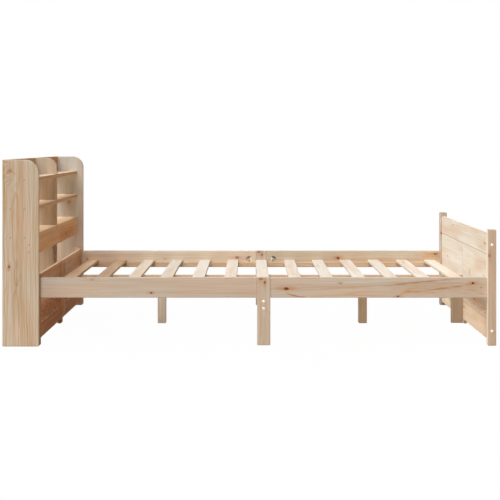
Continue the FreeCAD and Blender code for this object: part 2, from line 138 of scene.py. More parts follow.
def part_round_knots(add, on_board, radius, knots):
    """The rings' radius, bent round the knots, and masks of their dark cores and resinous halos."""
    ragged = add("ShaderNodeVectorMath", {0: on_board, 1: (1 / KNOT_RAG[0], 1 / KNOT_RAG[1], 0)},
                 operation="MULTIPLY").outputs[0]
    ragged = add("ShaderNodeTexNoise", {"Vector": ragged, "Scale": 1, "Detail": 1}).outputs["Fac"]
    masks = dict.fromkeys(KNOT_TONES, 0)
    for knot in knots:
        away = add("ShaderNodeVectorMath", {0: on_board, 1: (knot.along, knot.across, 0)},
                   operation="SUBTRACT").outputs[0]
        oval = add("ShaderNodeVectorMath", {0: away, 1: (2 / knot.length, 2 / knot.width, 0)},
                   operation="MULTIPLY").outputs[0]
        distance = add("ShaderNodeVectorMath", {0: oval}, operation="LENGTH").outputs["Value"]
        distance = add("ShaderNodeMath", {0: ragged, 1: RAG_SHARE, 2: distance},
                       operation="MULTIPLY_ADD").outputs[0]
        flow = add("ShaderNodeVectorMath", {0: oval, 1: DRIFT_SHARES},
                   operation="MULTIPLY").outputs[0]
        drift = add("ShaderNodeVectorMath", {0: flow}, operation="LENGTH").outputs["Value"]
        bend = add("ShaderNodeMapRange",
                   {"Value": drift, 1: DRIFT_REACH, 2: 0, 3: 0, 4: knot.width * BEND_SHARE},
                   interpolation_type="SMOOTHSTEP").outputs[0]
        radius = add("ShaderNodeMath", {0: radius, 1: bend}, operation="ADD").outputs[0]
        parts = {"halo": (drift, knot.dark * HALO_SHARE), "core": (distance, knot.dark)}
        for part, (reach, strength) in parts.items():
            outer, inner = KNOT_RIMS[part]
            spot = add("ShaderNodeMapRange",
                       {"Value": reach, 1: outer, 2: inner, 3: 0, 4: strength},
                       interpolation_type="SMOOTHSTEP").outputs[0]
            masks[part] = add("ShaderNodeMath", {0: masks[part], 1: spot},
                              operation="MAXIMUM").outputs[0]
    return radius, masks


# Widths of the figure in millimetres, where there are two along and across the grain
RING_WIDTH = 9
FIBRE = (260, 5)
STRIPE = (700, 28)
# How quickly the pace of growth changes, by how many rings, and the share of the faintest year
PACE_CHANGE = 0.4
PACE_RINGS = 1.6
FAINTEST_YEAR_SHARE = 0.1
# The shares of a year after which early wood darkens and late wood is darkest
EARLY_WOOD_SHARE = 0.3
LATE_WOOD_SHARE = 0.88
# Where fibres and stripes together begin and are full, and how much a board without figure has
MINGLED_RANGE = (0.8, 1.35)
PLAIN_TAN = 0.3


def late_wood(add, radius, on_board, in_log, figure):
    """How much of the tan late wood shows: in the rings, in fine fibres and in broad stripes."""
    # Each ring goes slowly from pale to tan and ends at a sharp line. No two years are alike.
    years = add("ShaderNodeMath", {0: radius, 1: RING_WIDTH}, operation="DIVIDE").outputs[0]
    pace = add("ShaderNodeTexNoise", {"W": years, "Scale": PACE_CHANGE, "Detail": 1},
               noise_dimensions="1D").outputs["Fac"]
    years = add("ShaderNodeMath", {0: pace, 1: PACE_RINGS, 2: years},
                operation="MULTIPLY_ADD").outputs[0]
    year = add("ShaderNodeMath", {0: years}, operation="FRACT").outputs[0]
    count = add("ShaderNodeMath", {0: years}, operation="FLOOR").outputs[0]
    growth = add("ShaderNodeTexWhiteNoise", {"W": count}, noise_dimensions="1D").outputs["Value"]
    growth = add("ShaderNodeMapRange",
                 {"Value": growth, 3: FAINTEST_YEAR_SHARE * figure, 4: figure}).outputs[0]
    season = add("ShaderNodeValToRGB", {"Fac": year})
    season.color_ramp.elements[0].position = EARLY_WOOD_SHARE
    season.color_ramp.elements[1].position = LATE_WOOD_SHARE
    season.color_ramp.elements.new(1.0).color = (0, 0, 0, 1)

    fine = add("ShaderNodeVectorMath", {0: on_board, 1: (1 / FIBRE[0], 1 / FIBRE[1], 1 / FIBRE[1])},
               operation="MULTIPLY").outputs[0]
    fibre = add("ShaderNodeTexNoise", {"Vector": fine, "Scale": 1, "Detail": 3}).outputs["Fac"]
    broad = add("ShaderNodeVectorMath",
                {0: in_log, 1: (1 / STRIPE[0], 1 / STRIPE[1], 1 / STRIPE[1])},
                operation="MULTIPLY").outputs[0]
    stripe = add("ShaderNodeTexNoise", {"Vector": broad, "Scale": 1, "Detail": 2}).outputs["Fac"]
    mingled = add("ShaderNodeMath", {0: fibre, 1: stripe}, operation="ADD").outputs[0]
    tan = add("ShaderNodeMapRange", {
        "Value": mingled, 1: MINGLED_RANGE[0], 2: MINGLED_RANGE[1], 3: 0, 4: PLAIN_TAN + figure,
    }).outputs[0]
    return add("ShaderNodeMath", {0: season.outputs["Color"], 1: growth, 2: tan},
               operation="MULTIPLY_ADD", use_clamp=True).outputs[0]


# A streak's patches along and across the grain, and how far it wavers, in millimetres
STREAK_PATCH = (50, 9)
STREAK_WAVE = 9
# Where its patches begin and are full, and how strong the faintest is
PATCH_RANGE = (0.35, 0.65)
FAINTEST_PATCH = 0.35
# A streak swells from its ends like a parabola of the first height, and is full from the second
BELLY_HEIGHT = 0.25
FULL_HEIGHT = 0.2


def streaked(add, colour, on_board, sway, streaks):
    """The colour with patchy streaks of late wood, resin and some painted shade, fading at both
    ends.
    """
    wavy = add("ShaderNodeVectorMath", {0: sway, 1: (0, STREAK_WAVE, 0), 2: on_board},
               operation="MULTIPLY_ADD").outputs[0]
    spot = add("ShaderNodeSeparateXYZ", {0: wavy})
    patchy = add("ShaderNodeVectorMath",
                 {0: on_board, 1: (1 / STREAK_PATCH[0], 1 / STREAK_PATCH[1], 0)},
                 operation="MULTIPLY").outputs[0]
    patchy = add("ShaderNodeTexNoise", {"Vector": patchy, "Scale": 1, "Detail": 2}).outputs["Fac"]
    patchy = add("ShaderNodeMapRange", {
        "Value": patchy, 1: PATCH_RANGE[0], 2: PATCH_RANGE[1], 3: FAINTEST_PATCH, 4: 1,
    }).outputs[0]
    for streak in streaks:
        share = add("ShaderNodeMapRange",
                    {"Value": spot.outputs["X"], 1: streak.start[0], 2: streak.end[0]}).outputs[0]
        square = add("ShaderNodeMath", {0: share, 1: share}, operation="MULTIPLY").outputs[0]
        belly = add("ShaderNodeMath", {0: share, 1: square}, operation="SUBTRACT").outputs[0]
        rise = streak.end[1] - streak.start[1]
        line = add("ShaderNodeMath", {0: share, 1: rise, 2: streak.start[1] + STREAK_WAVE / 2},
                   operation="MULTIPLY_ADD").outputs[0]
        line = add("ShaderNodeMath", {0: belly, 1: streak.bow / BELLY_HEIGHT, 2: line},
                   operation="MULTIPLY_ADD").outputs[0]
        off = add("ShaderNodeMath", {0: spot.outputs["Y"], 1: line},
                  operation="SUBTRACT").outputs[0]
        off = add("ShaderNodeMath", {0: off}, operation="ABSOLUTE").outputs[0]
        taper = add("ShaderNodeMapRange",
                    {"Value": belly, 1: 0, 2: FULL_HEIGHT, 3: 0, 4: streak.strength}).outputs[0]
        band = add("ShaderNodeMapRange",
                   {"Value": off, 1: streak.width / 2, 2: 0, 3: 0, 4: taper},
                   interpolation_type="SMOOTHSTEP").outputs[0]
        band = add("ShaderNodeMath", {0: band, 1: patchy}, operation="MULTIPLY").outputs[0]
        colour = add("ShaderNodeMix", {0: band, 6: colour, 7: linear(streak.tone)},
                     data_type="RGBA").outputs[2]
    return colour


# How squarely a surface must face an axis to begin to count as cut across it, and to count fully
SQUARE_ON = (0.8, 0.95)
# What an eased arris, at 45 degrees, has of the face's own direction, and the slack round it
ARRIS_SLOPE = 0.7
ARRIS_SLACK = 0.2
SAWN_SHARE = 0.3
SAWN_END = "#A57A52"
# Painted shade for planed edges that face away from the light
EDGE_SHADE = "#DCAB81"
# A paler painted light for faces turned away from the bed
BACK_FACE_LIGHT = "#E8D3B4"
SEAM = "#8A4A1C"


def cut_faces(add, colour, normal, ways, edge, back_light_share, seam):
    """The colour with sawn ends, painted light and shade on edges and back faces, and eased
    arrises.
    """
    along, across, through = ways
    # Sawn ends cut the rings another way, so they have a tone of their own. Planed edges take a
    # tone
    # set board by board: painted shade on some boards, painted light on others.
    for way, share, tone in ((along, SAWN_SHARE, SAWN_END), (across, edge[1], edge[0])):
        facing = add("ShaderNodeVectorMath", {0: normal, 1: way},
                     operation="DOT_PRODUCT").outputs["Value"]
        facing = add("ShaderNodeMath", {0: facing}, operation="ABSOLUTE").outputs[0]
        cut = add("ShaderNodeMapRange",
                  {"Value": facing, 1: SQUARE_ON[0], 2: SQUARE_ON[1], 3: 0, 4: share}).outputs[0]
        colour = add("ShaderNodeMix", {0: cut, 6: colour, 7: linear(tone)},
                     data_type="RGBA").outputs[2]

    # Painted light: the face away from the bed takes a paler tone, against the warm shade painted
    # into these boards' tones.
    rearward = add("ShaderNodeVectorMath", {0: normal, 1: -through},
                   operation="DOT_PRODUCT").outputs["Value"]
    paler_back = add("ShaderNodeMapRange",
              {"Value": rearward, 1: SQUARE_ON[0], 2: SQUARE_ON[1], 3: 0, 4: back_light_share}).outputs[0]
    colour = add("ShaderNodeMix", {0: paler_back, 6: colour, 7: linear(BACK_FACE_LIGHT)},
                 data_type="RGBA").outputs[2]

    # Where boards meet, dust and shade gather between their eased arrises.
    slope = add("ShaderNodeVectorMath", {0: normal, 1: through},
                operation="DOT_PRODUCT").outputs["Value"]
    slope = add("ShaderNodeMath", {0: slope}, operation="ABSOLUTE").outputs[0]
    eased = add("ShaderNodeMath", {0: slope, 1: ARRIS_SLOPE, 2: ARRIS_SLACK},
                operation="COMPARE").outputs[0]
    eased = add("ShaderNodeMath", {0: eased, 1: seam}, operation="MULTIPLY").outputs[0]
    return add("ShaderNodeMix", {0: eased, 6: colour, 7: linear(SEAM)},
               data_type="RGBA").outputs[2]


# How far apart the sways of the rings are across the log, in millimetres
SWAY_WIDTH = 70
# A warm blush: how quickly it comes and goes, where it begins and is full, and how much it shows
BLUSH = "#D8A67C"
BLUSH_CHANGE = 0.8
BLUSH_RANGE = (0.45, 0.75)
BLUSH_SHARE = 0.35
PLANED_ROUGHNESS = 0.6
PLANED_SHINE = 0.02
# The depth of the grain in millimetres, and how much of it the light shows
RELIEF = 0.3
RELIEF_SHARE = 0.12


def planed_pine(board, grain, tones, heart, lean=(0.6, 0.3), wander=(380, 24), figure=0.4,
                knots=(), streaks=(), edge=(EDGE_SHADE, 0), seam=0, back_light_share=0):
    """Planed, unfinished pine: pale early wood and tan late wood, with fibres along one axis.

    It is matt, so the eye sees soft colour and hardly any shine. The growth rings are solid, round
    the heart of the log, which lies so many millimetres across and through from the middle of the
    board and leans so many degrees along it. So arches show on a face, fine lines beside them, and
    arcs on the ends. The rings are drawn wider than real ones, so that they show from where the
    bed is seen. Over so many millimetres of length they wander by so many across.

    The edge is a tone and how much of it the planed edges take: painted shade on some boards,
    painted light on others. The seam is how dark the eased arrises are, and the back light share
    how much paler painted light the face away from the bed takes.
    """
    low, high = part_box(board)
    along = AXES[grain]
    spans = {axis: (high - low).dot(way) for axis, way in AXES.items() if axis != grain}
    across = AXES[max(spans, key=spans.get)]
    ways = (along, across, along.cross(across))
    turn = Matrix(ways)
    middle = turn @ (low + high) * METRE / 2

    material = bpy.data.materials.new(f"planed_pine_{board}")
    material.use_nodes = True
    tree = material.node_tree
    tree.nodes.clear()
    add = partial(add_node, tree)
    place = add("ShaderNodeTexCoord")
    on_board = add("ShaderNodeMapping", {
        "Vector": place.outputs["Object"],
        "Location": -middle,
        "Rotation": turn.to_euler(),
        "Scale": (METRE, METRE, METRE),
    }).outputs[0]
    # Boards with their hearts in different places come from different stretches of the log too.
    stretch = heart[0] * heart[1]
    in_log = add("ShaderNodeMapping", {
        "Vector": on_board,
        "Location": (stretch, -heart[0], -heart[1]),
        "Rotation": (0, math.radians(lean[1]), math.radians(lean[0])),
    }).outputs[0]

    # A trunk is never straight, so its rings wander along the board.
    slow = add("ShaderNodeVectorMath",
               {0: in_log, 1: (1 / wander[0], 1 / SWAY_WIDTH, 1 / SWAY_WIDTH)},
               operation="MULTIPLY").outputs[0]
    sway = add("ShaderNodeTexNoise", {"Vector": slow, "Scale": 1, "Detail": 2}).outputs["Color"]
    swayed = add("ShaderNodeVectorMath", {0: sway, 1: (0, wander[1], wander[1]), 2: in_log},
                 operation="MULTIPLY_ADD").outputs[0]
    crosscut = add("ShaderNodeVectorMath", {0: swayed, 1: (0, 1, 1)},
                   operation="MULTIPLY").outputs[0]
    radius = add("ShaderNodeVectorMath", {0: crosscut}, operation="LENGTH").outputs["Value"]
    radius, masks = part_round_knots(add, on_board, radius, knots)

    # The pale and tan tones follow the rings, and here and there the wood blushes.
    shade = late_wood(add, radius, on_board, in_log, figure)
    colour = add("ShaderNodeMix", {0: shade, 6: linear(tones[0]), 7: linear(tones[1])},
                 data_type="RGBA").outputs[2]
    warm = add("ShaderNodeTexNoise",
               {"Vector": slow, "Scale": BLUSH_CHANGE, "Detail": 1}).outputs["Fac"]
    warm = add("ShaderNodeMapRange", {
        "Value": warm, 1: BLUSH_RANGE[0], 2: BLUSH_RANGE[1], 3: 0, 4: BLUSH_SHARE,
    }).outputs[0]
    colour = add("ShaderNodeMix", {0: warm, 6: colour, 7: linear(BLUSH)},
                 data_type="RGBA").outputs[2]
    colour = streaked(add, colour, on_board, sway, streaks)
    if knots:
        for part, tone in KNOT_TONES.items():
            colour = add("ShaderNodeMix", {0: masks[part], 6: colour, 7: linear(tone)},
                         data_type="RGBA").outputs[2]
    colour = cut_faces(add, colour, place.outputs["Normal"], ways, edge, back_light_share, seam)

    relief = add("ShaderNodeBump",
                 {"Height": shade, "Strength": RELIEF_SHARE, "Distance": RELIEF / METRE})
    wood = add("ShaderNodeBsdfPrincipled", {
        "Base Color": colour,
        "Roughness": PLANED_ROUGHNESS,
        "Specular IOR Level": PLANED_SHINE,
        "Normal": relief.outputs[0],
    })
    add("ShaderNodeOutputMaterial", {"Surface": wood.outputs[0]})
    boards[board].data.materials.clear()
    boards[board].data.materials.append(material)


SIDE_PINE = ("#DACFC0", "#BA9970")
FAR_SIDE_PINE = ("#D9D4CA", "#C1A98C")
AMBER = "#B9783F"
ORANGE = "#C98E52"
GOLD = "#CFA564"
# The sides' planed edges take painted shade, for the front edges that face away from the light.
planed_pine(
    "bookcase_side_left", "z", SIDE_PINE, heart=(-8, 34), lean=(0.9, 0.5), wander=(190, 34),
    figure=0.5, edge=(EDGE_SHADE, 0.5),
    knots=[Knot(-61, -51, 12, 10), Knot(366, -47, 22, 30, 0.2)],
    streaks=[
        Streak((440, -47), (366, -48), 10, AMBER, 0.6),
        Streak((385, -38), (345, -76), 12, AMBER, 0.7, bow=4),
        Streak((385, -58), (348, -16), 12, AMBER, 0.7, bow=-4),
        Streak((411, 2), (268, -20), 12, ORANGE, 0.5, bow=3),
        Streak((262, -6), (60, -10), 6, ORANGE, 0.35),
        Streak((100, -40), (46, -80), 9, ORANGE, 0.4),
        Streak((-135, -73), (-290, -73), 7, ORANGE, 0.5),
        Streak((-198, 10), (-276, 12), 20, GOLD, 0.6),
        Streak((20, 8), (-196, 10), 5, ORANGE, 0.3),
        Streak((330, 55), (-380, 50), 4, ORANGE, 0.25),
        Streak((-150, -25), (-410, -30), 4, ORANGE, 0.3),
    ],
)
planed_pine(
    "bookcase_side_right", "z", FAR_SIDE_PINE, heart=(20, -40), lean=(-0.7, 0.4), figure=0.1,
    edge=(EDGE_SHADE, 0.5),
    knots=[Knot(160, 2, 24, 26, 0.4)],
)

# Divider and back boards
# An upright between the shelves, notched for the apron, and two boards across the back, one above
# the top shelves and one low down. All are planed solid pine, with the grain along their length.

DIVIDER_PINE = ("#D6CBBC", "#BDA07C")
# A darker, reddish band down the front of the divider
DIVIDER_FRONT_BAND = "#A8744F"
# Painted shade low on the divider's front, where the apron shades it
APRON_SHADE = "#6E3E20"
# Its planed edges take painted shade too.
planed_pine(
    "bookcase_divider", "z", DIVIDER_PINE, heart=(14, 30), edge=(EDGE_SHADE, 0.8),
    streaks=[
        Streak((-420, 52), (330, 52), 50, DIVIDER_FRONT_BAND, 0.4),
        Streak((-215, 46), (-60, 46), 44, APRON_SHADE, 0.8),
    ],
)
BACK_PINE = ("#DDB68E", "#BA8757")
# The back boards' faces away from the bed are painted paler, as painted light.
for board, heart, seed in (("back_board_upper", (40, 46), 3), ("back_board_lower", (-60, 38), 8)):
    planed_pine(board, "y", BACK_PINE, heart, knots=wild_knots(board, 4, seed), back_light_share=0.55)

# Shelves and apron
# Three pairs of pine shelves, screwed through the sides, with a deeper board under the lowest.
# Their fronts are planed edges of flat-sawn boards.

SHELF_PINE = ("#FBEACF", "#EAC59A")
# The shelves' front edges take painted shade; the bottom pair's are painted paler, as painted
# light.
SHELF_EDGE_SHADE_AND_LIGHT = {"top": EDGE_SHADE, "middle": EDGE_SHADE, "bottom": "#FFC488"}
for number, (level, tone) in enumerate(SHELF_EDGE_SHADE_AND_LIGHT.items()):
    for side in ("left", "right"):
        planed_pine(f"{level}_shelf_{side}", "y", SHELF_PINE, heart=(21 - 17 * number, 40),
                    edge=(tone, 0.95))
# The apron's tone is warmed as painted warm shade for its face towards the bed.
APRON_PINE = ("#FFCE98", "#F0AE78")
TAWNY = "#D9873F"
planed_pine("shelf_apron", "y", APRON_PINE, heart=(-12, 36), figure=0.5,
            knots=[Knot(335, -12, 12, 30, 0.7)],
            streaks=[Streak((40, -4), (700, -4), 150, TAWNY, 0.8)])

# Head end
# A panel of two pine boards over a bottom board, held between two posts. A short foot carries its
# middle, and an upright cleat down its front meets the end of the centre beam.

# The head boards' tones carry painted warm shade for their faces towards the bed.
HEAD_PINE = {"left": ("#FDD1A8", "#D79769"), "right": ("#FFDDBC", "#EB9F73")}
# Painted light on the head panels' top and bottom edges
HEAD_EDGE_LIGHT = "#E9CDAE"
# A broad darker band along the lower part of each head panel
HEAD_LOW_BAND = "#C4824C"
# The near post's tone is darkened as painted shade beside the side panel.
POST_PINE = {"left": ("#B4967A", "#94714F"), "right": ("#E6CDB0", "#C9A27C")}
for number, side in enumerate(("left", "right")):
    planed_pine(f"head_post_{side}", "z", POST_PINE[side], heart=(12, 30 + 9 * number))
    planed_pine(f"head_panel_{side}", "y", HEAD_PINE[side], heart=(30 - 50 * number, 38),
                edge=(HEAD_EDGE_LIGHT, 0.8), seam=0.9, back_light_share=0.65,
                knots=wild_knots(f"head_panel_{side}", 3, 21 + number),
                streaks=[Streak((-900, -70), (900, -70), 190, HEAD_LOW_BAND, 1.4)])
HEAD_BOTTOM_PINE = ("#D8986A", "#B4733F")
# The centre foot's tone is darkened as painted shade under the bed.
HEAD_FOOT_PINE = ("#B98A62", "#94683F")
CLEAT_PINE = ("#E4B48E", "#C99269")
planed_pine("head_bottom_board", "y", HEAD_BOTTOM_PINE, heart=(-10, 34), seam=0.8, back_light_share=0.6)
planed_pine("head_centre_foot", "y", HEAD_FOOT_PINE, heart=(6, 25))
planed_pine("beam_cleat", "z", CLEAT_PINE, heart=(9, 30))

# Side rails and middle legs
# Each side is two pine rails that meet at a leg in the middle of the bed, where a stud joins them.
# The rails are flat-sawn, so long arches run along them and round their knots.

RAIL_PINE = ("#D3C8BB", "#B89C80")
FAR_RAIL_PINE = {"head": ("#EADFCD", "#CEAE8C"), "foot": ("#D8CFBD", "#BEA281")}
RESIN = "#9A5A30"
RED_RESIN = "#A65430"
HONEY = "#C08A52"
LEG_STRIPE = "#C4946A"
planed_pine(
    "rail_left_head", "x", RAIL_PINE, heart=(-26, 30), lean=(0.5, 0.2), figure=0.2,
    knots=[Knot(12, -24, 12, 9), Knot(-254, 36, 24, 9, 0.3)],
    streaks=[
        Streak((-470, -24), (12, -24), 5, ORANGE, 0.55),
        Streak((10, -23), (290, -19), 5, ORANGE, 0.4),
        Streak((-460, -31), (-150, -32), 4, ORANGE, 0.3),
        Streak((335, 41), (395, 43), 5, RESIN, 0.6),
        Streak((380, 20), (440, 12), 8, ORANGE, 0.3),
    ],
)
planed_pine(
    "rail_left_foot", "x", RAIL_PINE, heart=(4, 26), lean=(-0.9, 0.5), figure=0.25,
    knots=[
        Knot(-417, -5, 28, 15, 0.95),
        Knot(-173, 19, 10, 9, 0.5),
        Knot(87, -40, 13, 10, 0.8),
        Knot(424, 20, 14, 12, 1.0),
    ],
    streaks=[
        Streak((-425, -20), (-325, -43), 11, RED_RESIN, 0.9, bow=-6),
        Streak((-350, -8), (35, 13), 10, ORANGE, 0.45, bow=-3),
        Streak((-330, -41), (-20, -10), 12, ORANGE, 0.4, bow=-6),
        Streak((0, 4), (376, 42), 12, RESIN, 0.8, bow=2),
        Streak((195, -13), (425, 17), 13, RESIN, 0.8, bow=-2),
        Streak((90, -14), (270, -24), 18, ORANGE, 0.7),
        Streak((70, -42), (200, -12), 12, ORANGE, 0.6, bow=8),
        Streak((-180, -30), (84, -42), 12, ORANGE, 0.4),
        Streak((385, -7), (497, -36), 10, RESIN, 0.35),
        Streak((-480, -17), (-410, -32), 5, ORANGE, 0.35),
        Streak((0, 0), (540, 0), 120, HONEY, 0.45),
    ],
)
planed_pine(
    "rail_right_head", "x", FAR_RAIL_PINE["head"], heart=(10, 32), lean=(0.6, 0.3), figure=0.25,
    knots=[Knot(383, 8, 26, 18, 0.6), Knot(-20, 2, 10, 8, 0.4)],
)
planed_pine(
    "rail_right_foot", "x", FAR_RAIL_PINE["foot"], heart=(-12, 30), lean=(-0.6, 0.3), figure=0.25,
    knots=[Knot(-86, 5, 20, 18, 0.9), Knot(463, 28, 30, 16, 0.6)],
    streaks=[Streak((330, 20), (570, 20), 70, ORANGE, 0.7)],
)
for side in ("left", "right"):
    planed_pine(
        f"middle_leg_{side}", "z", RAIL_PINE, heart=(16, 30), lean=(0.6, 0.3), figure=0.35,
        knots=[Knot(130, 5, 16, 13, 0.7), Knot(146, -12, 12, 26, 0.5)],
        streaks=[
            Streak((-150, -11), (60, -11), 12, LEG_STRIPE, 0.6),
            Streak((-150, 16), (60, 16), 10, LEG_STRIPE, 0.5),
        ],
    )

# Ledgers, cross beam, centre beams and their legs
# Pine strips along the rails carry the ends of the slats, and a beam on legs their middles.
# The beam is in halves that butt on a cross beam, which is bolted to the middle legs.

BEAM_PINE = ("#E1CAAD", "#C49D74")
CENTRE_LEG_PINE = {"head": ("#F0E9DB", "#D8BFA1"), "foot": ("#BFAC94", "#A38665")}
END_LEG_PINE = ("#C6BDB0", "#A9947B")
for number, half in enumerate(("head", "foot")):
    for side in ("left", "right"):
        planed_pine(f"ledger_{side}_{half}", "x", BEAM_PINE, heart=(14, 26 + 6 * number))
    planed_pine(f"centre_beam_{half}", "x", BEAM_PINE, heart=(18 - 30 * number, 30))
    planed_pine(f"centre_leg_{half}", "z", CENTRE_LEG_PINE[half], heart=(10 + 8 * number, 28),
                figure=0.3)
planed_pine("cross_beam", "y", BEAM_PINE, heart=(12, 28))
planed_pine("end_leg", "z", END_LEG_PINE, heart=(-14, 28), figure=0.3)

# Slats
# Thirteen flat pine slats lie on the ledgers and the beam, with open gaps between them.
# Each is cut from another log, so no two have the same figure.

SLAT_PINE = ("#E8E3D9", "#D5C0A4")
SLAT_SHADE_PINE = ("#F9DAB7", "#E3B487")
SLAT_LIGHT_PINE = ("#FCEFDC", "#E8CCA6")
# The first two slats at the head are browned as painted shade of the bookcase; the third is painted
# paler, as painted light.
HEAD_SLATS = {"slat_01": SLAT_SHADE_PINE, "slat_02": SLAT_SHADE_PINE, "slat_03": SLAT_LIGHT_PINE}
SLATS = sorted(name for name in boards if name.startswith("slat_"))
for number, slat in enumerate(SLATS):
    planed_pine(slat, "y", HEAD_SLATS.get(slat, SLAT_PINE),
                heart=((number * 23) % 50 - 25, 24 + (number * 11) % 17),
                lean=(0.6 - number % 3 * 0.5, 0.3), figure=0.2,
                knots=wild_knots(slat, number % 3, 40 + number))

# Foot end
# Two square posts hold a low footboard of pine boards, a top and a bottom rail and two panels.
# The boards meet with eased edges, which show as fine lines.

FOOT_PINE = ("#F3EFE4", "#E0CBAE")
# The bottom board's tone is paler than the pine's own, as painted light under the bed.
FOOT_BOTTOM_PINE = ("#FFF9E6", "#FFD6AF")
# Painted shade along the lower part of the left foot panel, under the rail and slats
FOOT_PANEL_SHADE = "#CB9A70"
FOOT_POST_HIGHLIGHT = "#FFF6E4"
# Each post has its tones, how deep the heart of its log lies, and how much painted highlight its
# edges take.
FOOT_POSTS = {"left": (RAIL_PINE, 28, 0.8), "right": (("#CCCFCC", "#B2A28C"), 35, 0)}
for side, (tones, depth, highlight) in FOOT_POSTS.items():
    planed_pine(f"foot_post_{side}", "z", tones, heart=(-10, depth), figure=0.35,
                edge=(FOOT_POST_HIGHLIGHT, highlight), knots=[Knot(145, -12, 18, 12, 0.5)])
planed_pine("foot_top_board", "y", FOOT_PINE, heart=(-20, 36), seam=0.6,
            knots=wild_knots("foot_top_board", 2, 5))
planed_pine(
    "foot_panel_left", "y", FOOT_PINE, heart=(-60, 36), seam=0.8, figure=0.25,
    knots=[Knot(150, 18, 10, 30, 0.4), Knot(-225, 39, 10, 12, 0.4), Knot(10, -97, 20, 16, 0.5)],
    streaks=[Streak((-700, -110), (330, -118), 130, FOOT_PANEL_SHADE, 0.8)],
)
planed_pine("foot_panel_right", "y", FOOT_PINE, heart=(50, 40), seam=0.8, figure=0.25,
            knots=wild_knots("foot_panel_right", 3, 14))
planed_pine("foot_bottom_board", "y", FOOT_BOTTOM_PINE, heart=(16, 34), seam=0.5,
            knots=wild_knots("foot_bottom_board", 2, 6))
planed_pine("foot_centre_foot", "y", FOOT_PINE, heart=(5, 25))

# Steel fixings
# Zinc-plated screws, bolts and nuts: the bolts' raised heads show as bright dots on the legs and
# posts, and the screws' flat heads as dull grey ones down the sides.

# A thin zinc coat is pale and half matt: it catches the light softly and mirrors nothing.
ZINC_METALLIC = 0.4
ZINC = {"bright": ("#F6EFE4", 0.4), "dull": ("#B7A792", 0.6)}
steels = {}
for finish, (tone, roughness) in ZINC.items():
    steel = bpy.data.materials.new(f"zinc_plated_steel_{finish}")
    steel.use_nodes = True
    shader = steel.node_tree.nodes["Principled BSDF"]
    shader.inputs["Base Color"].default_value = linear(tone)
    shader.inputs["Metallic"].default_value = ZINC_METALLIC
    shader.inputs["Roughness"].default_value = roughness
    steels[finish] = steel
for name in ("barrel_nuts", "joint_studs", "stud_nuts"):
    boards[name].data.materials.clear()
    boards[name].data.materials.append(steels["bright" if name == "stud_nuts" else "dull"])

WELD = 1e-6


def driven(node):
    """Where each fixing of a CAD node starts, and its way in, towards the middle of the bed."""
    solid = bmesh.new()
    solid.from_mesh(boards[node].data)
    bmesh.ops.remove_doubles(solid, verts=solid.verts, dist=WELD)
    visited = set()
    places = []
    for corner in solid.verts:
        if corner in visited:
            continue
        visited.add(corner)
        reached = [corner]
        for vertex in reached:
            for edge in vertex.link_edges:
                other = edge.other_vert(vertex)
                if other not in visited:
                    visited.add(other)
                    reached.append(other)
        low = Vector([min(v.co[axis] for v in reached) for axis in range(3)])
        high = Vector([max(v.co[axis] for v in reached) for axis in range(3)])
        start = (low + high) / 2
        axis = max(range(3), key=lambda i: high[i] - low[i])
        outside = low if start[axis] < 0 else high
        aim = Vector((0, 0, 0))
        aim[axis] = 1 if start[axis] < 0 else -1
        start[axis] = outside[axis]
        places.append((start, aim))
    solid.free()
    return places


HEAD_FACETS = 32
SHANK_FACETS = 16


